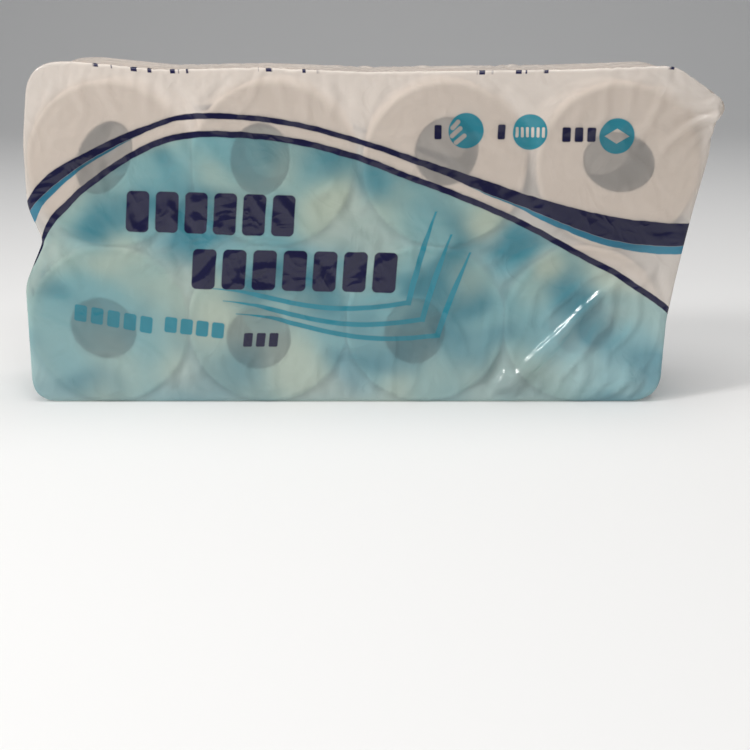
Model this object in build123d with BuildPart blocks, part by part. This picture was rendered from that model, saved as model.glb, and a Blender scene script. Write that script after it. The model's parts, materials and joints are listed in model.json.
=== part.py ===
from build123d import *
import os
from math import atan2, degrees

# Toilet paper roll pack: eight rolls, four wide and two high, one roll deep,
# in a welded bag of thin printed film. Millimetres, +Z up. The pack rests on
# its long narrow side. X runs along its width, Y along the roll axes.
# The origin is on the resting face, under the middle of the whole pack.

# ---- driving dimensions -------------------------------------------------
roll_radius = 57.5          # half of a 115 mm roll
roll_width = 96.0           # one sheet's width, along the roll axis
rim_radius = 3.0            # soft outer rim of each roll's end
flat_blend = 8.0            # rounds the edge of each pressed flat
core_wall = 0.8             # spirally wound board tube
film_wall = 0.5             # stands in for film about 0.05 mm thick
film_depth = 97.8           # outside, front face to back face
film_edge = 3.2             # outside radius round the roll ends
seal_width = 12.0           # welded strip that closes each end of the bag
seal_thickness = 0.8        # two film layers, welded and folded flat
ear_thickness = 2.4         # crumpled corner of the right-hand weld
side_shift = 14.85          # from the lower row's middle to the pack's middle
floor_z = film_wall         # the rolls stand on the film's inside

# Roll axes as (x, z), x counted from the middle of the lower row. The upper
# row leans right: its last two rolls stand apart from their neighbours.
roll_axes = {
    "bottom_1": (-170.0, 57.4),
    "bottom_2": (-57.0, 57.4),
    "bottom_3": (56.0, 57.4),
    "bottom_4": (169.0, 57.4),
    "top_1": (-164.0, 171.2),
    "top_2": (-51.0, 171.2),
    "top_3": (68.5, 170.7),
    "top_4": (189.0, 169.8),
}

# Core tubes: (x, z) of the middle, long and short outer half axes, and the
# long axis's turn from +X in degrees. Each tube keeps a 45 mm tube's girth,
# pressed oval, and sits a little off its roll's middle.
core_shapes = {
    "bottom_1": (-174.5, 55.0, 23.9, 21.0, 150.0),
    "bottom_2": (-63.5, 47.5, 23.0, 22.0, 20.0),
    "bottom_3": (48.5, 52.5, 23.4, 21.5, 80.0),
    "bottom_4": (168.0, 58.5, 23.0, 22.0, 120.0),
    "top_1": (-167.5, 176.0, 26.6, 17.4, 62.0),
    "top_2": (-59.5, 175.0, 24.6, 20.2, 84.0),
    "top_3": (69.5, 180.5, 23.4, 21.5, 70.0),
    "top_4": (189.0, 173.0, 24.8, 19.9, 166.0),
}

# Rolls pressed against each other. Each pair shares one flat, on the plane
# halfway between the two axes.
pressed_pairs = [
    ("bottom_1", "bottom_2"), ("bottom_2", "bottom_3"),
    ("bottom_3", "bottom_4"), ("top_1", "top_2"),
    ("bottom_1", "top_1"), ("bottom_2", "top_2"),
    ("bottom_3", "top_3"), ("bottom_4", "top_4"),
]

# Outside of the film bag seen along the roll axes: (x, z, corner radius).
# It is drawn in between the two rows on the left, stands proud of the top
# row at both ends, and leans out to the right with the upper rolls.
film_outline = [
    (-229.0, 0.0, 20.0),
    (-228.8, 86.0, 26.0),
    (-215.0, 117.5, 9.0),
    (-223.6, 142.0, 30.0),
    (-223.4, 186.0, 60.0),
    (-216.5, 240.5, 21.0),
    (-186.0, 241.5, 40.0),
    (-128.0, 236.0, 60.0),
    (-60.0, 236.6, 60.0),
    (15.0, 234.4, 60.0),
    (150.0, 236.0, 60.0),
    (226.0, 238.5, 24.0),
    (246.0, 219.0, 16.0),
    (250.0, 176.0, 60.0),
    (237.5, 112.0, 60.0),
    (228.6, 62.0, 60.0),
    (226.5, 0.0, 24.0),
]

# The upper right corner of the end weld stands out as a pointed ear.
ear_outline = [
    (222.0, 239.5, 2.0),
    (240.0, 232.0, 10.0),
    (254.0, 222.5, 8.0),
    (260.1, 213.4, 4.0),
    (256.0, 205.5, 5.0),
    (249.5, 192.0, 12.0),
    (247.0, 172.0, 2.0),
    (236.0, 190.0, 2.0),
]


def placed(x, z):
    return (x - side_shift, z)


# ---- paper rolls ----------------------------------------------------------
# Each roll's winding is one soft solid with its bore pressed oval round the
# core, and flats where it meets its neighbours and the bag's floor.
rolls = {}
for key, (axis_x, axis_z) in roll_axes.items():
    core_x, core_z, core_long, core_short, core_turn = core_shapes[key]
    name = "roll_" + key
    with BuildPart() as roll:
        with BuildSketch(Plane.XZ) as profile:
            with Locations(placed(axis_x, axis_z)):
                Circle(roll_radius)
            for first, second in pressed_pairs:
                if key not in (first, second):
                    continue
                other = second if key == first else first
                other_x, other_z = roll_axes[other]
                turn = degrees(atan2(other_z - axis_z, other_x - axis_x))
                middle = placed((axis_x + other_x) / 2, (axis_z + other_z) / 2)
                with Locations(middle):
                    Rectangle(30, 110, rotation=turn,
                              align=(Align.MIN, Align.CENTER),
                              mode=Mode.SUBTRACT)
            if key.startswith("bottom"):
                with Locations(placed(axis_x, floor_z)):
                    Rectangle(110, 30, align=(Align.CENTER, Align.MAX),
                              mode=Mode.SUBTRACT)
            fillet(profile.vertices(), radius=flat_blend)
        extrude(amount=roll_width / 2, both=True)
        ends = roll.faces().filter_by(Axis.Y)
        fillet(ends.edges(), radius=rim_radius)
        with BuildSketch(Plane.XZ):
            with Locations(placed(core_x, core_z)):
                Ellipse(core_long, core_short, rotation=core_turn)
        extrude(amount=roll_width, both=True, mode=Mode.SUBTRACT)
    roll.part.label = name
    rolls[name] = roll.part

# ---- cardboard cores ------------------------------------------------------
# Board tubes cut with the roll, so both ends are flush with the paper.
cores = {}
for key, (core_x, core_z, core_long, core_short, core_turn) in core_shapes.items():
    name = "core_" + key
    with BuildPart() as core:
        with BuildSketch(Plane.XZ):
            with Locations(placed(core_x, core_z)):
                Ellipse(core_long, core_short, rotation=core_turn)
                Ellipse(core_long - core_wall, core_short - core_wall,
                        rotation=core_turn, mode=Mode.SUBTRACT)
        extrude(amount=roll_width / 2, both=True)
    core.part.label = name
    cores[name] = core.part

# ---- film bag -------------------------------------------------------------
# The room inside the bag, to be taken out of the closed outer form.
with BuildPart() as bag_room:
    with BuildSketch(Plane.XZ):
        with BuildLine():
            FilletPolyline([placed(x, z) for x, z, r in film_outline],
                           radius=[r for x, z, r in film_outline], close=True)
        make_face()
        offset(amount=-film_wall)
    extrude(amount=film_depth / 2 - film_wall, both=True)
    fillet(bag_room.faces().filter_by(Axis.Y).edges(),
           radius=film_edge - film_wall)

# The bag itself: one welded skin round the rolls, closed at each end by a
# weld that is folded flat, with a crumpled ear at the upper right corner.
with BuildPart() as film_wrap:
    with BuildSketch(Plane.XZ) as outer:
        with BuildLine():
            FilletPolyline([placed(x, z) for x, z, r in film_outline],
                           radius=[r for x, z, r in film_outline], close=True)
        make_face()
    extrude(amount=film_depth / 2, both=True)
    fillet(film_wrap.faces().filter_by(Axis.Y).edges(), radius=film_edge)
    # folded welds, a strip lying on each end from its middle towards the back
    with BuildSketch(Plane.XZ) as end_strips:
        add(outer.sketch)
        offset(amount=seal_thickness)
        with Locations(placed(side_shift, 0)):
            Rectangle(424, 600, mode=Mode.SUBTRACT)
        with Locations(placed(side_shift, 0)):
            Rectangle(600, 24, mode=Mode.SUBTRACT)
        with Locations(placed(side_shift, 212)):
            Rectangle(600, 100, align=(Align.CENTER, Align.MIN),
                      mode=Mode.SUBTRACT)
    extrude(amount=-seal_width)
    with BuildSketch(Plane.XZ):
        with BuildLine():
            FilletPolyline([placed(x, z) for x, z, r in ear_outline],
                           radius=[r for x, z, r in ear_outline], close=True)
        make_face()
    extrude(amount=ear_thickness / 2, both=True)
    add(bag_room.part, mode=Mode.SUBTRACT)
film_wrap.part.label = "film_wrap"

# ---- write every piece ------------------------------------------------------
os.makedirs("parts", exist_ok=True)
export_step(film_wrap.part, "parts/film_wrap.step")
for name, part in {**rolls, **cores}.items():
    export_step(part, "parts/" + name + ".step")

everything = Compound(children=[film_wrap.part, *rolls.values(), *cores.values()])
box = everything.bounding_box()
print("pack box", box.min, box.max, "size", box.size)
print("film volume", round(film_wrap.part.volume), "solids",
      len(film_wrap.part.solids()))
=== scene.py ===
"""Toilet paper roll pack: looks. Eight soft rolls in a printed, milky film bag,
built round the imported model. Geometry is worked out in millimetres, in the
model's own frame, and written in metres."""

import json  # noqa: E402
import math  # noqa: E402

import bpy  # noqa: E402
import numpy as np  # noqa: E402
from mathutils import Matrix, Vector  # noqa: E402

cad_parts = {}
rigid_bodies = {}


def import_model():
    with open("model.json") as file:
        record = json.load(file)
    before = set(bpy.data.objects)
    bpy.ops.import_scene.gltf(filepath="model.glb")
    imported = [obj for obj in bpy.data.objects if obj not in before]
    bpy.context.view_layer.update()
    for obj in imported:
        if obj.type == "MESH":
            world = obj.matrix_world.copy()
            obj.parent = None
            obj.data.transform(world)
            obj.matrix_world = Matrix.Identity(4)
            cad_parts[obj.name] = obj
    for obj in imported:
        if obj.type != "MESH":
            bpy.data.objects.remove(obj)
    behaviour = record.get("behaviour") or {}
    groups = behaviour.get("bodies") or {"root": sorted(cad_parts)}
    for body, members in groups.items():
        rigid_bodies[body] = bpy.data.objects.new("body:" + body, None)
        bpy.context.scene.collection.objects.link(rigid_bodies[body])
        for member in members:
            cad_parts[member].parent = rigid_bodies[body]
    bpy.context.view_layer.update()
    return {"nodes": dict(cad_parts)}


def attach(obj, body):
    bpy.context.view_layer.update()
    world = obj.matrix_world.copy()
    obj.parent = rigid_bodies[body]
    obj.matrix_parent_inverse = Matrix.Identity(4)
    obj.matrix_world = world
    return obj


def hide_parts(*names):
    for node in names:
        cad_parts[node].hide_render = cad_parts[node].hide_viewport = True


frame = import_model()
MM = 0.001
rng = np.random.default_rng(20)

# ---------------------------------------------------------------- dimensions
ROLL_R, ROLL_HALF, RIM = 57.5, 48.0, 3.0
FACE_Y = 48.75  # the film's front and back faces
FILM_GAP = 0.45  # the film rides this far off the paper
SHIFT = 14.85  # lower row's middle to the pack's middle

ROLLS = {
    "bottom_1": (-170.0, 57.4), "bottom_2": (-57.0, 57.4),
    "bottom_3": (56.0, 57.4), "bottom_4": (169.0, 57.4),
    "top_1": (-164.0, 171.2), "top_2": (-51.0, 171.2),
    "top_3": (68.5, 170.7), "top_4": (189.0, 169.8),
}
ROLLS = {k: (x - SHIFT, z) for k, (x, z) in ROLLS.items()}
CORES = {
    "bottom_1": (-174.5, 55.0, 23.9, 21.0, 150.0),
    "bottom_2": (-63.5, 47.5, 23.0, 22.0, 20.0),
    "bottom_3": (48.5, 52.5, 23.4, 21.5, 80.0),
    "bottom_4": (168.0, 58.5, 23.0, 22.0, 120.0),
    "top_1": (-167.5, 176.0, 26.6, 17.4, 62.0),
    "top_2": (-59.5, 175.0, 24.6, 20.2, 84.0),
    "top_3": (69.5, 180.5, 23.4, 21.5, 70.0),
    "top_4": (189.0, 173.0, 24.8, 19.9, 166.0),
}
PAIRS = [
    ("bottom_1", "bottom_2"), ("bottom_2", "bottom_3"), ("bottom_3", "bottom_4"),
    ("top_1", "top_2"), ("bottom_1", "top_1"), ("bottom_2", "top_2"),
    ("bottom_3", "top_3"), ("bottom_4", "top_4"),
]
# the bag's outside seen from the front: (x, z, corner radius), x from the
# lower row's middle, starting at the lower left corner and going up the left
OUTLINE = [
    (-229.0, 0.0, 17.0), (-228.8, 86.0, 26.0), (-214.0, 118.5, 7.0),
    (-223.6, 142.0, 30.0), (-223.4, 186.0, 60.0), (-216.5, 240.5, 23.0),
    (-186.0, 241.5, 40.0), (-128.0, 236.0, 60.0), (-60.0, 237.2, 60.0),
    (15.0, 234.4, 60.0), (150.0, 236.0, 60.0), (226.0, 238.5, 24.0),
    (246.0, 219.0, 16.0), (250.0, 176.0, 60.0), (237.5, 112.0, 60.0),
    (228.6, 62.0, 60.0), (226.5, 0.0, 21.0),
]


def smoothstep(a, b, x):
    t = np.clip((x - a) / (b - a), 0.0, 1.0)
    return t * t * (3 - 2 * t)


# ---------------------------------------------------------------- the outline
def rounded_path(points, step=0.6):
    """Dense points round a closed polygon with rounded corners, and the index
    of each corner's middle in them."""
    out, marks = [], []
    n = len(points)
    for i in range(n):
        p = np.array(points[i][:2]) - (SHIFT, 0)
        a = np.array(points[i - 1][:2]) - (SHIFT, 0)
        b = np.array(points[(i + 1) % n][:2]) - (SHIFT, 0)
        u, v = (a - p) / np.linalg.norm(a - p), (b - p) / np.linalg.norm(b - p)
        half = math.acos(np.clip(u @ v, -1, 1)) / 2
        r = points[i][2]
        cut = r / math.tan(half)
        bis = (u + v) / np.linalg.norm(u + v)
        c = p + bis * r / math.sin(half)
        t0, t1 = p + u * cut - c, p + v * cut - c
        a0 = math.atan2(t0[1], t0[0])
        da = (math.atan2(t1[1], t1[0]) - a0 + math.pi) % (2 * math.pi) - math.pi
        m = max(3, int(abs(da) * r / step) // 2 * 2 + 1)
        for k in range(m):
            w = a0 + da * k / (m - 1)
            out.append(c + r * np.array([math.cos(w), math.sin(w)]))
            if k == m // 2:
                marks.append(len(out) - 1)
    dense, at = [], {}
    for i, p in enumerate(out):
        q = out[(i + 1) % len(out)]
        at[i] = len(dense)
        k = max(1, int(np.linalg.norm(q - p) / step))
        for t in range(k):
            dense.append(p + (q - p) * t / k)
    return np.array(dense), [at[m] for m in marks]


OUT, MARKS = rounded_path(OUTLINE)
# the path's four corners: lower left, upper left, upper right, lower right
C_BL, C_TL, C_TR, C_BR = MARKS[0], MARKS[5], (MARKS[11] + MARKS[12]) // 2, MARKS[16]


def side(a, b, n):
    """n + 1 points evenly along the outline from index a forward to b."""
    idx = np.arange(a, b + 1 if b > a else b + 1 + len(OUT)) % len(OUT)
    pts = OUT[idx]
    s = np.concatenate([[0], np.cumsum(np.linalg.norm(np.diff(pts, axis=0), axis=1))])
    t = np.linspace(0, s[-1], n + 1)
    return np.stack([np.interp(t, s, pts[:, 0]), np.interp(t, s, pts[:, 1])], 1)


# ------------------------------------------------------------- the bag's grid
def ear(x, y, z):
    """How far the film's upper right corner is pulled out, near the front."""
    up = np.interp(z, [150, 172, 188, 198, 206, 213, 219, 225, 232, 240],
                   [0, 0.8, 3.0, 6.0, 10.0, 13.6, 11.6, 7.0, 2.6, 0])
    return up * np.exp(-((y + 40) / 22.0) ** 2) * smoothstep(196, 232, x)


class Grid:
    """The surface of a box of cells, mapped on to the bag: ids of the surface
    points, the loops round it, its faces, and each point's taut place."""

    def __init__(self, nx, ny, nz):
        self.n = nx, ny, nz
        i, j, k = np.meshgrid(np.arange(nx + 1), np.arange(ny + 1),
                              np.arange(nz + 1), indexing="ij")
        on = (i == 0) | (i == nx) | (j == 0) | (j == ny) | (k == 0) | (k == nz)
        ids = -np.ones(on.shape, int)
        ids[on] = np.arange(on.sum())
        self.ids, self.ijk = ids, np.stack([i[on], j[on], k[on]], 1)
        left, top = side(C_BL, C_TL, nz), side(C_TL, C_TR, nx)
        right, bottom = side(C_TR, C_BR, nz)[::-1], side(C_BR, C_BL, nx)[::-1]
        u = (self.ijk[:, 0] / nx)[:, None]
        w = (self.ijk[:, 2] / nz)[:, None]
        ii, kk = self.ijk[:, 0], self.ijk[:, 2]
        xz = ((1 - w) * bottom[ii] + w * top[ii] + (1 - u) * left[kk] + u * right[kk]
              - (1 - u) * (1 - w) * bottom[0] - u * (1 - w) * bottom[-1]
              - (1 - u) * w * top[0] - u * w * top[-1])
        y = -FACE_Y + 2 * FACE_Y * self.ijk[:, 1] / ny
        self.flat = np.stack([xz[:, 0], y, xz[:, 1]], 1)
        # faces as grids of ids, and their outward normals
        self.faces = {
            "front": (ids[:, 0, :], (0, -1, 0)), "back": (ids[:, ny, :], (0, 1, 0)),
            "left": (ids[0, :, :], (-1, 0, 0)), "right": (ids[nx, :, :], (1, 0, 0)),
            "bottom": (ids[:, :, 0], (0, 0, -1)), "top": (ids[:, :, nz], (0, 0, 1)),
        }

        def ring(a, lo0, hi0, lo1, hi1):
            return np.concatenate([a[lo0:hi0, lo1], a[hi0, lo1:hi1],
                                   a[hi0:lo0:-1, hi1], a[lo0, hi1:lo1:-1]])

        self.loops = [
            np.array([ring(ids[:, q, :], 0, nx, 0, nz) for q in range(ny + 1)]),
            np.array([ring(ids[q, :, :], 0, ny, 0, nz) for q in range(nx + 1)]),
            np.array([ring(ids[:, :, q], 0, nx, 0, ny) for q in range(nz + 1)]),
        ]
        # the same shape with its edges rounded, as taut film would go
        pairs = [(a, np.roll(a, -1, 1)) for a in self.loops]
        self.pairs = (np.concatenate([a.ravel() for a, _ in pairs]),
                      np.concatenate([b.ravel() for _, b in pairs]))
        out = self.flat.copy()
        pull = ear(*self.flat.T)
        out[:, 0] += pull
        out[:, 2] -= pull * 0.2
        self.taut = self.smooth(out, 2 if nx < 150 else 7, 0.5)

    def smooth(self, p, times, share):
        a, b = self.pairs
        count = np.bincount(a, minlength=len(p)) + np.bincount(b, minlength=len(p))
        for _ in range(times):
            mean = np.stack([np.bincount(a, p[b, c], len(p)) + np.bincount(b, p[a, c], len(p))
                             for c in range(3)], 1) / count[:, None]
            p = p + (mean - p) * share
        return p

    def quads(self):
        out = []
        for f, nrm in self.faces.values():
            a, b, c, d = f[:-1, :-1], f[1:, :-1], f[1:, 1:], f[:-1, 1:]
            q = np.stack([a, b, c, d], -1).reshape(-1, 4)
            m = q[len(q) // 2]
            p = self.flat[m]
            if np.dot(np.cross(p[1] - p[0], p[3] - p[0]), nrm) < 0:
                q = q[:, ::-1]
            out.append(q)
        return np.concatenate(out)

    def passes(self, step, lengthen):
        """Sets of point pairs, no point twice in a set, with rest lengths."""
        got = []
        for loops in self.loops:
            for c in range(2 * step):
                a = loops[:, c::2 * step].ravel()
                b = np.roll(loops, -step, 1)[:, c::2 * step].ravel()
                got.append((a, b, lengthen(a, b)))
        return got

    def diagonals(self, lengthen):
        got = []
        for pi in (0, 1):
            for pj in (0, 1):
                for flip in (0, 1):
                    a, b = [], []
                    for f, _ in self.faces.values():
                        p, q = f[:-1, :-1][pi::2, pj::2], f[1:, 1:][pi::2, pj::2]
                        if flip:
                            p, q = f[1:, :-1][pi::2, pj::2], f[:-1, 1:][pi::2, pj::2]
                        a.append(p.ravel())
                        b.append(q.ravel())
                    a, b = np.concatenate(a), np.concatenate(b)
                    got.append((a, b, lengthen(a, b)))
        return got


# ------------------------------------------------------------------ the folds
FOLDS = []  # start, end, half width, extra film across it, seed height


def fold(a, b, width, extra, seed):
    FOLDS.append((np.array(a, float), np.array(b, float), width, extra, seed))


def front(x0, z0, x1, z1, width, extra, seed):
    fold((x0, -FACE_Y, z0), (x1, -FACE_Y, z1), width, extra, seed)


# the large pleat at the lower right, and the soft folds beside it
front(176, 85, 92, 7, 7.0, 3.4, 4.4)
front(177, 84, 148, 2, 5.0, 1.5, 2.4)
front(169, 75, 145, 26, 6.0, 0.9, -2.4)
front(160, 77, 118, 52, 7.0, 0.5, -1.2)
front(193, 80, 196, 4, 4.0, 0.5, 1.1)
front(203, 100, 188, 82, 3.2, 0.5, 1.2)
front(212, 96, 205, 72, 3.0, 0.3, 0.8)
front(110, 80, 130, 38, 5.0, 0.35, 0.8)
front(97, 84, 105, 16, 5.0, 0.35, 0.7)
front(128, 112, 92, 92, 6.0, 0.4, 0.9)
# the straight crease across the lower left, with its short partners
front(-238, 64, -188, 36, 2.8, 0.8, 1.5)
front(-188, 36, -150, 20, 2.8, 0.7, 1.3)
front(-204, 54, -183, 45, 2.6, 0.4, 0.9)
front(-163, 42, -145, 35, 2.6, 0.4, 0.9)
front(-239, 81, -213, 75, 3.2, 0.5, -0.9)
# pulled lines that fan out of the tuck between the rows
front(-228, 118, -209, 88, 3.4, 0.7, 1.2)
front(-228, 119, -196, 112, 3.0, 0.5, 0.9)
front(-228, 121, -212, 140, 3.0, 0.4, 0.8)
# creases near the top of the second roll, and the dent over the third
front(-102, 232, -84, 228, 3.0, 0.6, 1.0)
front(-84, 228, -97, 208, 3.2, 0.6, -1.0)
front(46, 182, 72, 170, 7.0, 0.6, -1.1)
front(40, 178, 47, 158, 3.0, 0.4, 0.8)
front(63, 186, 78, 168, 3.0, 0.4, 0.8)
front(76, 181, 90, 163, 3.0, 0.3, 0.7)
front(-130, 181, -121, 176, 2.6, 0.3, 0.7)
front(-110, 173, -97, 169, 2.6, 0.3, 0.7)
front(-108, 190, -115, 176, 3.2, 0.3, -0.7)
front(-103, 180, -121, 164, 3.2, 0.3, -0.7)
# small rays in the gap between the second and third rolls
for ax, az in ((21.8, 159.5), (-22.6, 161.0), (3.0, 144.0), (-11, 120), (-36, 128)):
    front(-17.9, 136.0, ax, az, 3.0, 0.3, 0.7)
# the film turns the upper right corner with a long upright line
front(226, 216, 232, 173, 3.2, 0.5, 0.9)
front(232, 173, 226, 148, 3.0, 0.4, 0.8)


def scatter():
    """The small folds that every bag has, in fixed pseudo-random places."""
    r = np.random.default_rng(7)
    for _ in range(105):  # loose ones on both large faces
        for s in (-1, 1):
            x, z = r.uniform(-225, 225), r.uniform(15, 222)
            w, length = r.uniform(0, math.pi), r.uniform(12, 48)
            d = np.array([math.cos(w), 0, math.sin(w)]) * length / 2
            c = np.array([x, s * FACE_Y, z])
            fold(c - d, c + d, r.uniform(2.6, 6.5), r.uniform(0.15, 0.6),
                 r.choice([-0.5, 1.0]) * r.uniform(0.4, 1.0))
    for _ in range(24):  # ones over the top and bottom front and back edges
        for s in (-1, 1):
            for z, up in ((236.0, -1), (0.5, 1)):
                x, length = r.uniform(-222, 222), r.uniform(14, 44)
                lean = r.uniform(-0.6, 0.6)
                a = np.array([x, s * FACE_Y, z])
                b = a + np.array([lean * length, 0, up * length])
                fold(a, b, r.uniform(3.0, 6.0), r.uniform(0.2, 0.6),
                     r.uniform(0.3, 0.9))
                c = a + np.array([-lean * length * 0.5, -s * length * 0.8, 0])
                if up < 0:
                    fold(a, c, r.uniform(3.0, 6.0), r.uniform(0.2, 0.55),
                         r.uniform(0.3, 0.8))
    for end in (-1, 1):  # gathers that run to the welds, and the tucked corners
        for _ in range(34):
            z = r.uniform(8, 228)
            x = np.interp(z, [0, 60, 118, 171, 240],
                          [-242, -243, -229, -238, -231] if end < 0
                          else [212, 214, 222, 235, 228])
            for s in (-1, 1):
                if r.random() < 0.75:
                    length, rise = r.uniform(14, 44), r.uniform(-6, 6)
                    fold((x, 0, z), (x, s * length, z + rise), r.uniform(2.4, 4.2),
                         r.uniform(0.3, 0.9), r.uniform(0.5, 1.3))
        for s in (-1, 1):
            for z0, z1 in ((234.0, 186.0), (4.0, 50.0)):
                x0 = -236.0 if end < 0 else (228.0 if z0 > 100 else 211.0)
                x1 = -239.0 if end < 0 else (236.0 if z0 > 100 else 213.5)
                fold((x0, s * FACE_Y, z0), (x1, 0, z1), 3.0, 1.0, 1.5)
    for _ in range(16):  # crumples that run out to the pulled corner
        w, far = r.uniform(2.2, 4.4), r.uniform(18, 52)
        a = np.array([231.0, -FACE_Y, r.uniform(204, 220)])
        fold(a, a + (far * math.cos(w), 0, far * math.sin(w)), r.uniform(2.2, 3.6),
             r.uniform(0.3, 0.8), r.uniform(0.5, 1.2))
        a = np.array([232.0, -FACE_Y + 2, r.uniform(200, 222)])
        fold(a, a + (0, r.uniform(12, 34), r.uniform(-16, 12)), r.uniform(2.2, 3.6),
             r.uniform(0.4, 1.0), r.uniform(0.6, 1.4))
    for _ in range(60):  # the top, between the rolls
        x, y = r.uniform(-225, 222), r.uniform(-44, 44)
        w, length = r.normal(math.pi / 2, 0.6), r.uniform(14, 50)
        d = np.array([math.cos(w), math.sin(w), 0]) * length / 2
        c = np.array([x, y, 236.0])
        fold(c - d, c + d, r.uniform(2.8, 5.5), r.uniform(0.15, 0.5),
             r.uniform(0.3, 0.9))


scatter()


def band(points, a, b, width):
    """How far into a fold's band each point lies, from 0 to 1, and the unit
    way across it is left to the caller."""
    d = b - a
    length = np.linalg.norm(d)
    d = d / length
    rel = points - a
    t = rel @ d
    off = rel - t[:, None] * d
    dist = np.sqrt(np.einsum("ij,ij->i", off, off))
    ease = min(12.0, length * 0.35)
    taper = smoothstep(-ease, ease, t) * (1 - smoothstep(length - ease, length + ease, t))
    return np.exp(-((dist / width) ** 2)) * taper, d


def near(points, a, b, reach):
    lo, hi = np.minimum(a, b) - reach, np.maximum(a, b) + reach
    return np.nonzero(((points > lo) & (points < hi)).all(1))[0]


def lengthener(grid, slack):
    def lengthen(a, b):
        pa, pb = grid.flat[a], grid.flat[b]
        d = pb - pa
        length = np.linalg.norm(grid.taut[b] - grid.taut[a], axis=1)
        d /= np.linalg.norm(d, axis=1)[:, None]
        mid, way = (pa + pb) / 2, d
        more = np.full(len(a), slack)
        for fa, fb, width, extra, _ in FOLDS:
            at = near(mid, fa, fb, width * 2.4 + 6)
            if not len(at):
                continue
            g, along = band(mid[at], fa, fb, width)
            across = 1 - (way[at] @ along) ** 2
            more[at] += extra / (width * 1.772) * g * across
        return length * (1 + more)

    return lengthen


def seeds(grid):
    """Small starting heights that decide which way each fold goes."""
    out = np.zeros_like(grid.flat)
    for ids, nrm in grid.faces.values():
        f = ids.ravel()
        p, nrm = grid.flat[f], np.array(nrm, float)
        for fa, fb, width, _, seed in FOLDS:
            if abs((fa + fb) / 2 @ nrm - p[len(p) // 2] @ nrm) > 14:
                continue
            at = near(p, fa, fb, width * 2.4 + 6)
            if len(at):
                g, _ = band(p[at], fa, fb, width)
                out[f[at]] += np.outer(g * seed, nrm)
    return out


# ---------------------------------------------------------------- the solver
CENTRES = np.array(list(ROLLS.values()))


def push_out(p, gap):
    """Keeps the film off the rolls, taken as cylinders with soft rims."""
    dx = p[:, 0, None] - CENTRES[:, 0]
    dz = p[:, 2, None] - CENTRES[:, 1]
    d2 = dx * dx + dz * dz
    m = d2.argmin(1)
    rows = np.arange(len(p))
    rho = np.sqrt(d2[rows, m]) + 1e-9
    a = rho - (ROLL_R - RIM)
    b = np.abs(p[:, 1]) - (ROLL_HALF - RIM)
    ap, bp = np.maximum(a, 0), np.maximum(b, 0)
    out = np.sqrt(ap * ap + bp * bp)
    need = gap - (out + np.minimum(np.maximum(a, b), 0) - RIM)
    hit = np.nonzero(need > 0)[0]
    o, k = out[hit], need[hit]
    safe = np.where(o > 1e-9, o, 1)
    ga = np.where(o > 1e-9, ap[hit] / safe, (a[hit] > b[hit]).astype(float))
    gb = np.where(o > 1e-9, bp[hit] / safe, (a[hit] <= b[hit]).astype(float))
    r = rho[hit]
    p[hit, 0] += k * ga * dx[hit, m[hit]] / r
    p[hit, 2] += k * ga * dz[hit, m[hit]] / r
    p[hit, 1] += k * gb * np.sign(p[hit, 1])


def relax(p, target, hold, sets, steps, push):
    """Settles the film: each set is (a, b, rest length, stiffness, bend only)."""
    before = p.copy()
    for step in range(steps):
        move = (p - before) * 0.88
        before = p.copy()
        p = p + move + push + (target - p) * hold[:, None]
        for a, b, rest, k, bend in sets:
            d = p[b] - p[a]
            now = np.sqrt(np.einsum("ij,ij->i", d, d)) + 1e-9
            c = k * 0.5 * (now - rest) / now
            if bend:
                c = np.minimum(c, 0)
            d *= c[:, None]
            p[a] += d
            p[b] -= d
        push_out(p, FILM_GAP)
        np.maximum(p[:, 2], 0.15, out=p[:, 2])
    return p


def settle(grid, start, steps, slack):
    target = grid.taut.copy()
    x, y, z = grid.flat.T.copy()
    # a slack top that sags a little between the front and back edges
    sag = 2.6 * (1 - (y / FACE_Y) ** 2) * smoothstep(225, 233, z)
    target[:, 2] -= sag * smoothstep(-238, -205, x) * (1 - smoothstep(195, 225, x))
    # both ends are drawn in where the film is gathered to the weld
    draw = 3.2 * (1 - np.abs(y) / FACE_Y) ** 1.5
    left = 1 - smoothstep(-236, -214, x)
    high = smoothstep(8, 40, z) * (1 - smoothstep(196, 226, z))
    target[:, 0] += draw * left * high
    target[:, 0] -= draw * smoothstep(205, 214, x) * high * (1 - smoothstep(150, 190, z))
    edge = smoothstep(222, 232, z) + left + smoothstep(207, 222, x)
    hold = 0.0012 + 0.010 * np.clip(edge, 0, 1)
    hold += 0.05 * (1 - smoothstep(1.0, 6.0, z)) + 0.02 * np.clip(ear(x, y, z) / 6, 0, 1)
    if start is None:
        start = target + seeds(grid)
    lengthen = lengthener(grid, slack)
    sets = [(a, b, r, 1.0, False) for a, b, r in grid.passes(1, lengthen)]
    sets += [(a, b, r, 0.45, False) for a, b, r in grid.diagonals(lengthen)]
    bend = 0.10
    sets += [(a, b, r, bend, True) for a, b, r in grid.passes(2, lengthen)]
    push = np.zeros_like(target)
    push[:, 1] = -0.0009 * np.sign(y) * (np.abs(y) > FACE_Y - 0.1)
    p = relax(start, target, hold, sets, steps, push)
    p = grid.smooth(p, 1, 0.35)
    push_out(p, FILM_GAP)
    np.maximum(p[:, 2], 0.15, out=p[:, 2])
    return p


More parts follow.
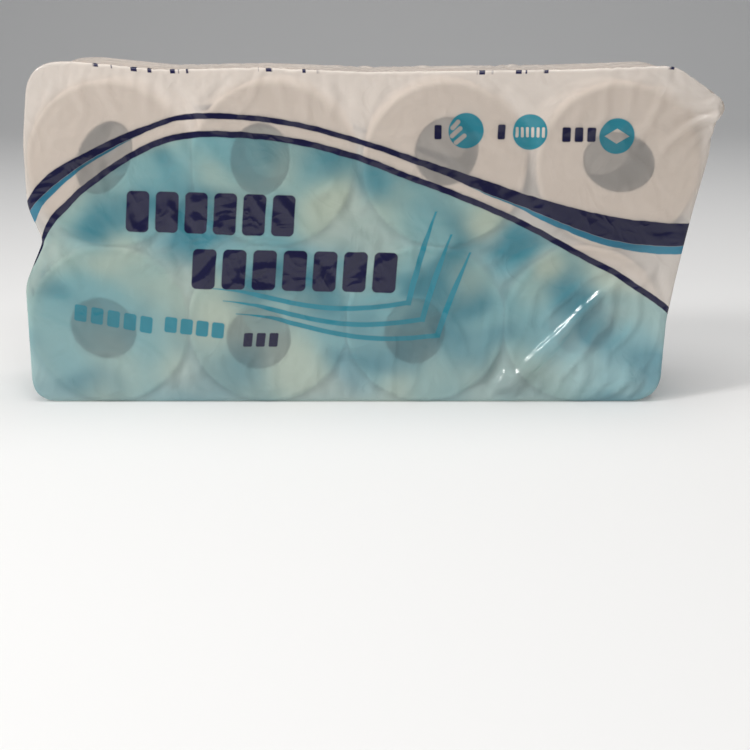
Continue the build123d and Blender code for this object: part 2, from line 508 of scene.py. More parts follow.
def refine(coarse, p, fine):
    """Carries places from the coarse grid to one with cells half the size."""
    out = np.zeros((len(fine.flat), 3))
    for name, (ids, _) in coarse.faces.items():
        src = p[ids] - coarse.taut[ids]
        for ax in (0, 1):
            src = np.moveaxis(src, ax, 0)
            up = np.zeros((src.shape[0] * 2 - 1,) + src.shape[1:])
            up[::2] = src
            q = np.concatenate([src[:1] * 2 - src[1:2], src, src[-1:] * 2 - src[-2:-1]])
            up[1::2] = (9 * (src[:-1] + src[1:]) - q[:-3] - q[3:]) / 16
            src = np.moveaxis(up, 0, ax)
        to = fine.faces[name][0]
        out[to] = fine.taut[to] + src
    return out


def make_film():
    coarse = Grid(108, 22, 54)
    p = settle(coarse, None, 420, 0.0012)
    fine = Grid(216, 44, 108)
    p = refine(coarse, p, fine)
    p = settle(fine, p, 110, 0.0012)
    return fine, p


def new_mesh(name, points, faces, smooth=True):
    me = bpy.data.meshes.new(name)
    me.from_pydata((np.asarray(points) * MM).tolist(), [], np.asarray(faces).tolist()
                   if not isinstance(faces, list) else faces)
    me.update()
    if smooth:
        me.polygons.foreach_set("use_smooth", [True] * len(me.polygons))
    ob = bpy.data.objects.new(name, me)
    bpy.context.scene.collection.objects.link(ob)
    return ob


def declare(ob, node):
    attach(ob, "root")
    if node:
        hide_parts(node)


# -------------------------------------------------------------- shader helpers
class Tree:
    """Short ways to write a material's nodes."""

    def __init__(self, name):
        self.mat = bpy.data.materials.new(name)
        self.mat.use_nodes = True
        self.nodes, self.links = self.mat.node_tree.nodes, self.mat.node_tree.links
        self.nodes.clear()

    def node(self, kind, **values):
        n = self.nodes.new(kind)
        for key, value in values.items():
            setattr(n, key, value)
        return n

    def put(self, socket, value):
        if isinstance(value, bpy.types.NodeSocket):
            self.links.new(value, socket)
        elif value is not None:
            socket.default_value = value

    def math(self, op, a, b=None, c=None, clamp=False):
        n = self.node("ShaderNodeMath", operation=op, use_clamp=clamp)
        for socket, value in zip(n.inputs, (a, b, c)):
            self.put(socket, value)
        return n.outputs[0]

    def vec(self, op, a, b=None):
        n = self.node("ShaderNodeVectorMath", operation=op)
        for socket, value in zip(n.inputs, (a, b)):
            self.put(socket, value)
        return n.outputs["Value" if op in ("LENGTH", "DOT_PRODUCT", "DISTANCE") else 0]

    def ramp(self, x, a, b, lo=0.0, hi=1.0):
        """A smooth step: lo below a, hi above b."""
        n = self.node("ShaderNodeMapRange", interpolation_type="SMOOTHSTEP")
        for socket, value in zip(n.inputs, (x, a, b, lo, hi)):
            self.put(socket, value)
        return n.outputs[0]

    def mix(self, f, a, b):
        n = self.node("ShaderNodeMix", data_type="RGBA")
        self.put(n.inputs[0], f)
        for socket, value in ((n.inputs[6], a), (n.inputs[7], b)):
            if isinstance(value, tuple):
                value = (*value, 1.0)[:4]
            self.put(socket, value)
        return n.outputs[2]

    def curve(self, x, points):
        """z along x, both in millimetres, through a table of points."""
        n = self.node("ShaderNodeFloatCurve")
        c = n.mapping.curves[0]
        pts = [((px + 320) / 640, (pz + 160) / 480) for px, pz in points]
        while len(c.points) < len(pts):
            c.points.new(0.5, 0.5)
        for p, at in zip(c.points, sorted(pts)):
            p.location = at
            p.handle_type = "AUTO"
        n.mapping.use_clip = False
        n.mapping.extend = "EXTRAPOLATED"
        n.mapping.update()
        self.put(n.inputs["Value"], self.math("DIVIDE", self.math("ADD", x, 320.0), 640.0))
        return self.math("SUBTRACT", self.math("MULTIPLY", n.outputs[0], 480.0), 160.0)

    def noise(self, at, scale, detail=2.0, rough=0.5, distort=0.0, out=0):
        n = self.node("ShaderNodeTexNoise")
        self.put(n.inputs["Vector"], at)
        self.put(n.inputs["Scale"], scale)
        self.put(n.inputs["Detail"], detail)
        self.put(n.inputs["Roughness"], rough)
        self.put(n.inputs["Distortion"], distort)
        return n.outputs[out]

    def node_noise(self, at, scale):
        """A noise with three values, centred on nought, to bend places with."""
        return self.vec("SUBTRACT", self.noise(at, scale, 1.0, out=1), (0.5, 0.5, 0.5))

    def xyz(self, v):
        n = self.node("ShaderNodeSeparateXYZ")
        self.put(n.inputs[0], v)
        return n.outputs

    def join(self, x, y, z=0.0):
        n = self.node("ShaderNodeCombineXYZ")
        for socket, value in zip(n.inputs, (x, y, z)):
            self.put(socket, value)
        return n.outputs[0]

    def finish(self, shader):
        out = self.node("ShaderNodeOutputMaterial")
        self.links.new(shader, out.inputs[0])
        return self.mat


def srgb(r, g, b):
    def one(c):
        c /= 255.0
        return c / 12.92 if c <= 0.04045 else ((c + 0.055) / 1.055) ** 2.4
    return (one(r), one(g), one(b))


def stroke(t, at, a, b):
    """How far a point of the design is from a straight stroke's middle line."""
    ax, az, bx, bz = *a, *b
    length = math.hypot(bx - ax, bz - az)
    ux, uz = (bx - ax) / length, (bz - az) / length
    mx, mz = (ax + bx) / 2, (az + bz) / 2
    u = t.vec("DOT_PRODUCT", at, (ux, uz, 0.0))
    v = t.vec("DOT_PRODUCT", at, (-uz, ux, 0.0))
    u = t.math("SUBTRACT", t.math("ABSOLUTE", t.math("SUBTRACT", u, mx * ux + mz * uz)),
               length / 2)
    v = t.math("SUBTRACT", v, mz * ux - mx * uz)
    u = t.math("MAXIMUM", u, 0.0)
    return t.math("SQRT", t.math("ADD", t.math("MULTIPLY", u, u), t.math("MULTIPLY", v, v)))


def strokes(t, at, lines):
    """Nearest distance to any of several polylines."""
    best = None
    for line in lines:
        for a, b in zip(line[:-1], line[1:]):
            d = stroke(t, at, a, b)
            best = d if best is None else t.math("MINIMUM", best, d)
    return best


def box(t, dx, dz, hw, hh, r):
    """Signed distance to a rounded box about the origin of (dx, dz)."""
    ex = t.math("MAXIMUM", t.math("SUBTRACT", t.math("ABSOLUTE", dx), t.math("SUBTRACT", hw, r)), 0.0)
    ez = t.math("MAXIMUM", t.math("SUBTRACT", t.math("ABSOLUTE", dz), t.math("SUBTRACT", hh, r)), 0.0)
    d = t.math("SQRT", t.math("ADD", t.math("MULTIPLY", ex, ex), t.math("MULTIPLY", ez, ez)))
    return t.math("SUBTRACT", d, r)


def row(t, x, z, first, count, pitch, middle, half_w, half_h, r, slant=0.0, slope=0.0):
    """Signed distance to a row of plain rounded blocks. half_w and half_h are
    a number, or two for blocks that take turns."""
    dz = t.math("SUBTRACT", z, t.math("ADD", t.math("MULTIPLY", x, slope), middle - first * slope))
    xs = t.math("SUBTRACT", x, t.math("MULTIPLY", dz, slant))
    f = t.math("DIVIDE", t.math("SUBTRACT", xs, first - pitch / 2), pitch)
    i = t.math("FLOOR", t.math("MINIMUM", t.math("MAXIMUM", f, 0.0), count - 0.001))
    dx = t.math("MULTIPLY", t.math("SUBTRACT", t.math("SUBTRACT", f, i), 0.5), pitch)
    if isinstance(half_w, tuple):
        odd = t.math("MODULO", i, 2.0)
        half_w = t.math("ADD", t.math("MULTIPLY", odd, half_w[1] - half_w[0]), half_w[0])
        lift = half_h[1] - half_h[0]
        dz = t.math("SUBTRACT", dz, t.math("MULTIPLY", odd, lift))
        half_h = t.math("ADD", t.math("MULTIPLY", odd, lift), half_h[0])
    return box(t, dx, dz, half_w, half_h, r)


# ------------------------------------------------------------------- the print
NAVY_UP = [(-300, 86), (-262, 120), (-237.6, 147.0), (-229.7, 157.3), (-217.0, 168.0), (-195.6, 179.4),
           (-176.1, 188.8), (-159.9, 195.5), (-147.9, 199.6), (-137.5, 203.2),
           (-128.0, 205.3), (-115.4, 206.5), (-94.2, 206.3), (-60.0, 202.6),
           (-18.9, 193.0), (28.6, 178.1), (76.5, 162.7), (120.2, 148.2),
           (172.8, 135.4), (199.1, 132.0), (221.3, 130.6), (262, 134), (300, 142)]
NAVY_LO = [(-300, 78), (-262, 111), (-236.4, 139.5), (-230.4, 146.5), (-217.7, 157.4), (-202.6, 168.0),
           (-184.5, 179.0), (-160.2, 190.2), (-141.6, 197.8), (-132.1, 200.9),
           (-115.5, 202.4), (-94.3, 202.3), (-60.1, 198.7), (-18.9, 189.0),
           (28.6, 173.6), (52.5, 164.6), (76.7, 154.2), (106.4, 142.9),
           (147.0, 126.6), (169.3, 119.4), (190.9, 115.8), (212.5, 114.6), (262, 117), (300, 121)]
TEAL_LO = [(-300, 70), (-262, 102), (-232.7, 132.0), (-227.9, 142.0), (-213.7, 156.0), (-201.2, 166.0),
           (-188.8, 174.4), (-170.7, 184.5), (-150.0, 195.0), (-132.1, 202.0),
           (-94.3, 203.5), (-18.9, 190.2), (28.6, 174.8), (60.0, 162.3),
           (76.7, 153.6), (106.4, 141.0), (120.7, 133.2), (138.4, 125.8),
           (156.1, 118.7), (174.8, 113.2), (194.5, 109.6), (215.6, 108.6), (262, 111), (300, 114)]
THIN = [(-300, 40), (-262, 78), (-235.2, 106.1), (-222.0, 131.5), (-208.3, 145.3), (-200.4, 152.6),
        (-185.4, 163.8), (-168.9, 174.6), (-152.6, 183.0), (-140.5, 187.9),
        (-130.2, 190.4), (-115.9, 192.0), (-94.6, 192.0), (-60.3, 189.0),
        (-19.0, 179.8), (28.7, 163.2), (76.9, 144.6), (100.0, 134.5),
        (129.5, 119.4), (148.1, 109.1), (170.3, 97.6), (187.1, 87.6),
        (204.0, 76.4), (211.5, 70.6), (262, 30), (300, 2)]


def slope_half(points, width):
    """Half the height of a line of constant width, along the line."""
    pts = sorted(points)
    out = []
    for i, (x, z) in enumerate(pts):
        a, b = pts[max(i - 1, 0)], pts[min(i + 1, len(pts) - 1)]
        s = (b[1] - a[1]) / (b[0] - a[0])
        out.append((x, width / 2 * math.sqrt(1 + s * s)))
    return out


# three plain sweeps: the run along the bottom as z at x, then the rise as x at z
SWEEPS = [
    ([(-118, 84.6), (-90, 81.6), (-66, 76.4), (-43, 71.8), (-19, 69.6), (5, 70.6),
      (27, 73.6), (40, 76.0)], -112, 29.5,
     [(60, 26), (74, 29.2), (98, 35.0), (122, 42.0), (142, 49.0)], 73.8, 139),
    ([(-110, 75.6), (-84, 72.8), (-60, 66.8), (-37, 61.4), (-13, 58.2), (16, 58.8),
      (37, 61.4), (50, 64.0)], -103, 39.5,
     [(50, 36), (62, 39.3), (86, 46.0), (108, 53.4), (126, 60.0)], 61.7, 123),
    ([(-102, 66.0), (-72, 63.4), (-49, 57.6), (-25, 51.8), (-1, 48.2), (24, 47.6),
      (48, 49.8), (62, 52.0)], -94, 50.5,
     [(38, 47), (50, 50.2), (74, 58.0), (96, 66.6), (114, 74.0)], 50.2, 110),
]


def paint(t):
    """The printed design over the bag, with painted shade and painted light laid into it: its colour,
    and how clear the film is.
    """
    attr = t.node("ShaderNodeAttribute", attribute_name="print")
    s, z, y = t.xyz(attr.outputs["Vector"])
    at = t.join(s, z)
    wob = t.noise(t.vec("MULTIPLY", at, (0.11, 0.11, 0.0)), 1.0, 1.0)
    zz = t.math("ADD", z, t.math("MULTIPLY", t.math("SUBTRACT", wob, 0.5), 1.2))
    up, lo = t.curve(s, NAVY_UP), t.curve(s, NAVY_LO)
    teal, thin = t.curve(s, TEAL_LO), t.curve(s, THIN)
    half = t.curve(s, slope_half(THIN, 4.4))
    soft = 0.45

    def over(a, b):  # 1 where a is above b
        return t.ramp(t.math("SUBTRACT", a, b), -soft, soft)

    navy = t.math("MULTIPLY", over(up, zz), over(zz, lo))
    under = t.math("MULTIPLY", over(lo, zz), over(zz, teal))
    line = t.ramp(t.math("SUBTRACT", half, t.math("ABSOLUTE", t.math("SUBTRACT", zz, thin))),
                  -soft, soft)
    below = over(thin, zz)
    # only where the design's own face or ends are, not over the top
    face = t.ramp(z, 222.0, 226.0, 1.0, 0.0)

    # soft clouds of two blues and cream, in the lower zone
    cloud_at = t.vec("MULTIPLY", t.join(s, z, t.math("MULTIPLY", y, 0.3)),
                     (0.0125, 0.015, 0.02))
    c1 = t.noise(cloud_at, 1.0, 1.0, 0.45, 0.35)
    c2 = t.noise(t.vec("ADD", cloud_at, (7.3, 2.1, 4.0)), 1.5, 1.0, 0.4, 0.5)
    cream_blobs = [(-175, 100, 22), (-148, 88, 24), (-120, 76, 26), (-140, 22, 16),
                   (-42, 150, 26), (-20, 154, 20), (-48, 30, 24), (50, 30, 22),
                   (76, 94, 20), (112, 84, 18), (84, 126, 18), (18, 12, 16),
                   (128, 100, 12), (-100, 60, 22)]
    teal_blobs = [(-130, 178, 18), (-34, 168, 20), (-222, 86, 24), (-92, 24, 26),
                  (0, 20, 20), (-194, 130, 22), (5, 160, 14), (100, 114, 20),
                  (64, 44, 20), (146, 90, 18), (142, 60, 26), (190, 34, 24),
                  (-215, 20, 20)]

    def blobs(items):
        total = None
        for bx, bz, r in items:
            d = t.vec("DISTANCE", at, (bx, bz, 0.0))
            v = t.ramp(d, 0.0, float(r) * 1.5, 1.0, 0.0)
            total = v if total is None else t.math("ADD", total, v)
        return total

    lean = t.math("SUBTRACT", blobs(cream_blobs), blobs(teal_blobs))
    shade = t.math("ADD", t.math("MULTIPLY", lean, 0.26),
                   t.math("ADD", t.math("MULTIPLY", c1, 1.5), -0.32))
    shade = t.math("MAXIMUM", t.math("MINIMUM", shade, 1.0), 0.0)
    # deep teal blots: the cloud print's own deep patches, plus painted shade in the gaps between the
    # rolls and in the furrow of the lower right pleat
    deep_ink_and_shade_blobs = [(160, 58, 13), (100, 113, 18), (205, 28, 18), (150, 92, 12), (112, 16, 14),
                  (-128, 112, 17), (-128, 8, 14), (-15, 8, 13)]
    deep_ink_and_shade = t.math("ADD", t.ramp(c2, 0.4, 0.68), blobs(deep_ink_and_shade_blobs), clamp=True)
    blue = t.mix(deep_ink_and_shade, srgb(150, 200, 208), srgb(78, 156, 174))
    cloud = t.mix(t.ramp(shade, 0.15, 0.9), blue, srgb(208, 222, 210))
    # painted light: the cloud print is lightened towards the bottom, where less lamp light falls
    cloud = t.mix(t.ramp(z, 110.0, 10.0, 0.0, 0.26), cloud, srgb(222, 240, 242))

    ink = t.mix(t.math("MULTIPLY", below, face), srgb(238, 231, 224), cloud)
    ink = t.mix(t.math("MULTIPLY", under, face), ink, srgb(70, 150, 180))
    dark = t.math("MULTIPLY", t.math("MAXIMUM", navy, line), face)

    # the front's own blocks, bars, discs and sweeps
    fore = t.ramp(y, -3.0, 3.0, 1.0, 0.0)
    head = t.math("MINIMUM",
                  row(t, s, z, -161.0, 6, 20.4, 139.0, 8.0, 14.5, 3.6, 0.08, -0.03),
                  row(t, s, z, -116.0, 7, 21.4, 98.0, 8.4, 14.5, 3.6, 0.08, -0.02))
    small = t.math("MINIMUM",
                   row(t, s, z, -86.0, 3, 9.2, 46.5, 3.3, 5.2, 1.2, 0.12),
                   row(t, s, z, 137.0, 3, 8.6, 192.0, 3.0, 5.0, 1.2))
    small = t.math("MINIMUM", small, row(t, s, z, 48.5, 2, 43.5, 193.6, 2.6, 5.0, 1.2))
    small = t.math("MINIMUM", head, small)
    dark = t.math("MAXIMUM", dark,
                  t.math("MULTIPLY", t.ramp(small, -soft, soft, 1.0, 0.0), fore))
    ink = t.mix(dark, ink, srgb(22, 22, 66))

    teal_bars = t.ramp(t.math("MINIMUM",
                              row(t, s, z, -205.0, 5, 11.6, 66.0, 4.4, 6.2, 1.8, 0.12, -0.18),
                              row(t, s, z, -141.0, 4, 11.2, 57.5, 4.4, 5.8, 1.8, 0.12, -0.12)),
                       -soft, soft, 1.0, 0.0)
    sweep = None
    for run, x0, x1, rise, z0, z1 in SWEEPS:
        thick = t.ramp(s, float(x0), x0 + 40.0, 0.3, 1.8)
        d = t.math("SUBTRACT", t.math("ABSOLUTE", t.math("SUBTRACT", z, t.curve(s, run))), thick)
        d = t.math("MAXIMUM", d, t.math("SUBTRACT", s, float(x1)))
        d = t.math("MAXIMUM", d, t.math("SUBTRACT", float(x0), s))
        e = t.math("SUBTRACT", s, t.curve(z, rise))
        e = t.math("SUBTRACT", t.math("ABSOLUTE", e), t.ramp(z, z1 - 30.0, float(z1), 2.1, 0.8))
        e = t.math("MAXIMUM", e, t.math("SUBTRACT", z, float(z1)))
        e = t.math("MAXIMUM", e, t.math("SUBTRACT", z0 - 2.0, z))
        d = t.math("MINIMUM", d, e)
        sweep = d if sweep is None else t.math("MINIMUM", sweep, d)
    sweep = t.ramp(sweep, -soft, soft, 1.0, 0.0)
    disc = None
    for dx, dz in ((67.7, 194.5), (111.7, 193.5), (171.6, 191.0)):
        v = t.ramp(t.vec("DISTANCE", at, (dx, dz, 0.0)), 11.7, 12.5, 1.0, 0.0)
        disc = v if disc is None else t.math("MAXIMUM", disc, v)
    # pale marks inside the discs: a diamond, a row of ticks, a slanted half
    q = t.vec("ABSOLUTE", t.vec("SUBTRACT", at, (171.6, 191.0, 0.0)))
    qx, qz, _ = t.xyz(q)
    diamond = t.ramp(t.math("ADD", t.math("DIVIDE", qx, 8.6), t.math("DIVIDE", qz, 5.2)),
                     0.92, 1.04, 1.0, 0.0)
    ticks = t.ramp(row(t, s, z, 102.5, 6, 3.7, 193.3, 1.0, 3.4, 0.8), -0.3, 0.3, 1.0, 0.0)
    wedge = t.ramp(strokes(t, at, [[(58.2, 191), (63.5, 196)], [(58.5, 196.5), (62.0, 200.5)],
                                   [(61.0, 186.5), (66.5, 191)]]), 1.1, 1.9, 1.0, 0.0)
    pale = t.math("MAXIMUM", t.math("MAXIMUM", diamond, ticks), wedge)
    tealish = t.math("MAXIMUM", t.math("MAXIMUM", teal_bars, sweep), disc)
    tealish = t.math("MULTIPLY", t.math("MULTIPLY", tealish, fore),
                     t.math("SUBTRACT", 1.0, t.math("MULTIPLY", disc, pale)))
    tealish = t.math("MULTIPLY", tealish, t.math("SUBTRACT", 1.0, dark))
    ink = t.mix(tealish, ink, srgb(58, 152, 172))

    # short dark marks over the top, just behind the front edge
    dash = t.noise(t.join(s, 0.0, 0.0), 0.11, 2.0, 0.6)
    zone = t.noise(t.join(s, 5.0, 0.0), 0.016, 0.0)
    marks = t.math("MULTIPLY", t.ramp(dash, 0.53, 0.56), t.ramp(zone, 0.5, 0.52))
    edge = t.curve(s, [(-300, 230), (-231, 239), (-200, 241), (-143, 236), (-75, 237), (0, 234.6),
                       (135, 236), (211, 238), (300, 230)])
    tall = t.math("SUBTRACT", 2.6, t.math("ABSOLUTE", t.math("SUBTRACT", z, edge)))
    marks = t.math("MULTIPLY", marks, t.ramp(tall, -0.4, 0.4))
    ink = t.mix(t.math("MULTIPLY", marks, fore), ink, srgb(30, 30, 76))
    # how clear the film is: least under heavy ink and on the back
    cover = t.math("MAXIMUM", dark, t.math("MULTIPLY", tealish, 0.7))
    clear = t.math("SUBTRACT", t.ramp(cover, 0.0, 1.0, 0.56, 0.2), t.math("MULTIPLY", below, 0.1))
    clear = t.math("MULTIPLY", clear, t.ramp(y, -50.0, -20.0, 1.0, 0.45))
    # the heavy field of blue at the lower right hides the core behind it
    field = t.ramp(t.vec("DISTANCE", at, (172.0, 52.0, 0.0)), 34.0, 62.0, 0.62, 0.0)
    clear = t.math("MULTIPLY", clear, t.math("SUBTRACT", 1.0, field))
    # milky film that stands off the paper hides what is behind it
    off = t.node("ShaderNodeAttribute", attribute_name="off_paper").outputs["Fac"]
    clear = t.math("MULTIPLY", clear, t.math("SUBTRACT", 1.0, t.math("MULTIPLY", off, 0.62)))
    clear = t.math("MAXIMUM", t.math("MULTIPLY", clear, t.ramp(y, 20.0, 50.0, 1.0, 0.55)), 0.02)
    return ink, clear


def film_material(name):
    t = Tree(name)
    ink, clear = paint(t)
    pos = t.node("ShaderNodeTexCoord").outputs["Object"]
    # fine creases that the mesh can't carry: long soft ones, and small facets
    n1 = t.noise(pos, 38.0, 2.0, 0.55, 0.8)
    ridge = t.math("ABSOLUTE", t.math("SUBTRACT", n1, 0.5))
    cell = t.node("ShaderNodeTexVoronoi", feature="F1")
    warp = t.vec("ADD", pos, t.vec("MULTIPLY", t.node_noise(pos, 60.0), (0.018, 0.018, 0.018)))
    t.put(cell.inputs["Vector"], warp)
    cell.inputs["Scale"].default_value = 46.0
    height = t.math("ADD", t.math("MULTIPLY", ridge, -1.1),
                    t.math("MULTIPLY", cell.outputs["Distance"], 0.42))
    bump = t.node("ShaderNodeBump")
    bump.inputs["Strength"].default_value = 0.8
    bump.inputs["Distance"].default_value = 0.0024
    t.put(bump.inputs["Height"], height)
    b = t.node("ShaderNodeBsdfPrincipled")
    t.put(b.inputs["Base Color"], ink)
    b.inputs["Roughness"].default_value = 0.24
    b.inputs["IOR"].default_value = 1.52
    b.inputs["Specular IOR Level"].default_value = 0.38
    b.inputs["Coat Weight"].default_value = 0.7
    b.inputs["Coat Roughness"].default_value = 0.08
    t.put(b.inputs["Normal"], bump.outputs[0])
    t.put(b.inputs["Coat Normal"], bump.outputs[0])
    tl = t.node("ShaderNodeBsdfTranslucent")
    t.put(tl.inputs["Color"], ink)
    t.put(tl.inputs["Normal"], bump.outputs[0])
    tr = t.node("ShaderNodeBsdfTransparent")
    t.put(tr.inputs["Color"], ink)
    m1 = t.node("ShaderNodeMixShader")
    m1.inputs[0].default_value = 0.22
    t.links.new(b.outputs[0], m1.inputs[1])
    t.links.new(tl.outputs[0], m1.inputs[2])
    m2 = t.node("ShaderNodeMixShader")
    t.put(m2.inputs[0], clear)
    t.links.new(m1.outputs[0], m2.inputs[1])
    t.links.new(tr.outputs[0], m2.inputs[2])
    # lamps light the paper inside through plain milky film
    shade = t.node("ShaderNodeBsdfTransparent")
    shade.inputs["Color"].default_value = (0.6, 0.585, 0.57, 1)
    m3 = t.node("ShaderNodeMixShader")
    t.put(m3.inputs[0], t.node("ShaderNodeLightPath").outputs["Is Shadow Ray"])
    t.links.new(m2.outputs[0], m3.inputs[1])
    t.links.new(shade.outputs[0], m3.inputs[2])
    return t.finish(m3.outputs[0])


# -------------------------------------------------------------- paper and board
def paper_material():
    t = Tree("tissue_paper")
    pos = t.node("ShaderNodeTexCoord").outputs["Object"]
    fibre = t.noise(pos, 900.0, 2.0, 0.6)
    mottle = t.noise(pos, 30.0, 2.0, 0.5)
    col = t.mix(t.ramp(mottle, 0.3, 0.7), srgb(231, 223, 216), srgb(238, 231, 225))
    attr = t.node("ShaderNodeAttribute", attribute_name="layer")
    lay, end, _ = t.xyz(attr.outputs["Vector"])
    turn = t.noise(t.join(lay, 0.0, 0.0), 900.0, 2.0, 0.7)
    dim = t.math("MULTIPLY", t.math("SUBTRACT", 1.0, t.ramp(turn, 0.35, 0.65)), end)
    col = t.mix(t.math("MULTIPLY", dim, 0.35), col, srgb(206, 200, 194))
    bump = t.node("ShaderNodeBump")
    bump.inputs["Strength"].default_value = 0.4
    bump.inputs["Distance"].default_value = 0.0006
    t.put(bump.inputs["Height"], t.math("ADD", t.math("MULTIPLY", fibre, 0.5),
                                        t.math("MULTIPLY", dim, -0.6)))
    b = t.node("ShaderNodeBsdfPrincipled")
    t.put(b.inputs["Base Color"], col)
    b.inputs["Roughness"].default_value = 0.95
    b.inputs["Specular IOR Level"].default_value = 0.2
    t.put(b.inputs["Normal"], bump.outputs[0])
    return t.finish(b.outputs[0])


def board_material():
    t = Tree("core_cardboard")
    pos = t.node("ShaderNodeTexCoord").outputs["Object"]
    x, y, z = t.xyz(pos)
    fibre = t.noise(t.vec("MULTIPLY", pos, (1.0, 0.25, 1.0)), 700.0, 3.0, 0.6)
    # painted shade: the board is a dark grey, darker than plain cardboard, so that the bores read as
    # shaded
    col = t.mix(t.ramp(fibre, 0.3, 0.7), srgb(78, 75, 72), srgb(94, 90, 86))
    # the spiral seam of the wound board
    wave = t.math("FRACT", t.math("ADD", t.math("MULTIPLY", y, 14.0),
                                  t.math("MULTIPLY", t.math("ADD", x, z), 3.2)))
    seam = t.ramp(t.math("ABSOLUTE", t.math("SUBTRACT", wave, 0.5)), 0.0, 0.02, 1.0, 0.0)
    col = t.mix(t.math("MULTIPLY", seam, 0.6), col, srgb(64, 60, 56))
    b = t.node("ShaderNodeBsdfPrincipled")
    t.put(b.inputs["Base Color"], col)
    b.inputs["Roughness"].default_value = 0.9
    return t.finish(b.outputs[0])


def roll_outline(key, n):
    """The roll's squashed outline: radius at n angles from its axis."""
    cx, cz = ROLLS[key]
    w = np.linspace(0, 2 * math.pi, n, endpoint=False)
    r = np.full(n, ROLL_R)
    for a, b in PAIRS:
        if key not in (a, b):
            continue
        ox, oz = ROLLS[b if key == a else a]
        d = math.hypot(ox - cx, oz - cz) / 2
        c = np.cos(w - math.atan2(oz - cz, ox - cx))
        flat = np.where(c > 0.2, d / np.maximum(c, 0.2), 1e3)
        r = np.minimum(r, flat - 0.05)
    if key.startswith("bottom"):
        c = np.cos(w + math.pi / 2)
        flat = np.where(c > 0.2, (cz - 0.55) / np.maximum(c, 0.2), 1e3)
        r = np.minimum(r, flat)
    return w, r


def make_roll(key, rng):
    n = 128
    cx, cz = ROLLS[key]
    bx, bz, long_half, short_half, turn = CORES[key]
    bx -= SHIFT
    w, outer = roll_outline(key, n)
    edge = np.stack([cx + outer * np.cos(w), cz + outer * np.sin(w)], 1)
    # the bore seen from its own middle, with points facing the edge's
    ang = np.arctan2(edge[:, 1] - bz, edge[:, 0] - bx) - math.radians(turn)
    k = 1 / np.sqrt((np.cos(ang) / (long_half + 0.02)) ** 2 + (np.sin(ang) / (short_half + 0.02)) ** 2)
    bore = np.stack([bx + k * np.cos(ang + math.radians(turn)),
                     bz + k * np.sin(ang + math.radians(turn))], 1)
    # rings from the bore out over each end, round the rim and across the side
    end = np.linspace(0, 1, 22)
    phase = rng.uniform(0, 6.28, 3)
    ring_noise = 0.22 * np.sin(end * 31 + phase[0]) + 0.16 * np.sin(end * 57 + phase[1])
    rings = []  # (share of the way from bore to edge, inset from the edge, y)
    for i, e in enumerate(end[:-1]):
        rings.append((e, 0.0, ROLL_HALF - 0.25 + ring_noise[i] * (0.3 + 0.7 * e) * 0.8))
    prof = [(1, RIM, ROLL_HALF - 0.1)]
    for a in np.linspace(15, 90, 6):
        a = math.radians(a)
        prof.append((1, RIM * (1 - math.sin(a)), ROLL_HALF - RIM * (1 - math.cos(a))))
    rows = rings + prof
    ys = np.linspace(ROLL_HALF - RIM - 5, -(ROLL_HALF - RIM - 5), 18)
    side_rows = [(1, 0.0, y) for y in ys]
    rows = rows + side_rows + [(e, i, -y) for e, i, y in reversed(rings + prof)]
    pts, lay = [], []
    way = np.stack([np.cos(w), np.sin(w)], 1)
    soft = 0.12 * np.sin(3 * w + phase[2]) - 0.12
    for e, inset, y in rows:
        if e < 1:
            ring = bore + (edge + way * (soft - RIM)[:, None] - bore) * e
            yy = y + np.sign(y) * 0.08 * e * np.sin(5 * w + phase[0] + e * 9)
        else:
            ring, yy = edge + way * (soft - inset)[:, None], np.full(n, float(y))
        yy = np.clip(yy, -ROLL_HALF, ROLL_HALF)
        pts.append(np.stack([ring[:, 0], yy, ring[:, 1]], 1))
        flat_end = 1.0 if e < 1 or inset > 0.5 else 0.0
        lay.append(np.tile([e * 0.034, flat_end, 0.0], (n, 1)))
    m = len(rows)
    pts = np.concatenate(pts)
    faces = []
    for i in range(m):
        j = (i + 1) % m
        for q in range(n):
            p = (q + 1) % n
            faces.append((i * n + q, i * n + p, j * n + p, j * n + q))
    ob = new_mesh("roll_" + key + "_paper", pts, faces)
    a = ob.data.attributes.new("layer", "FLOAT_VECTOR", "POINT")
    a.data.foreach_set("vector", np.concatenate(lay).ravel())
    return ob


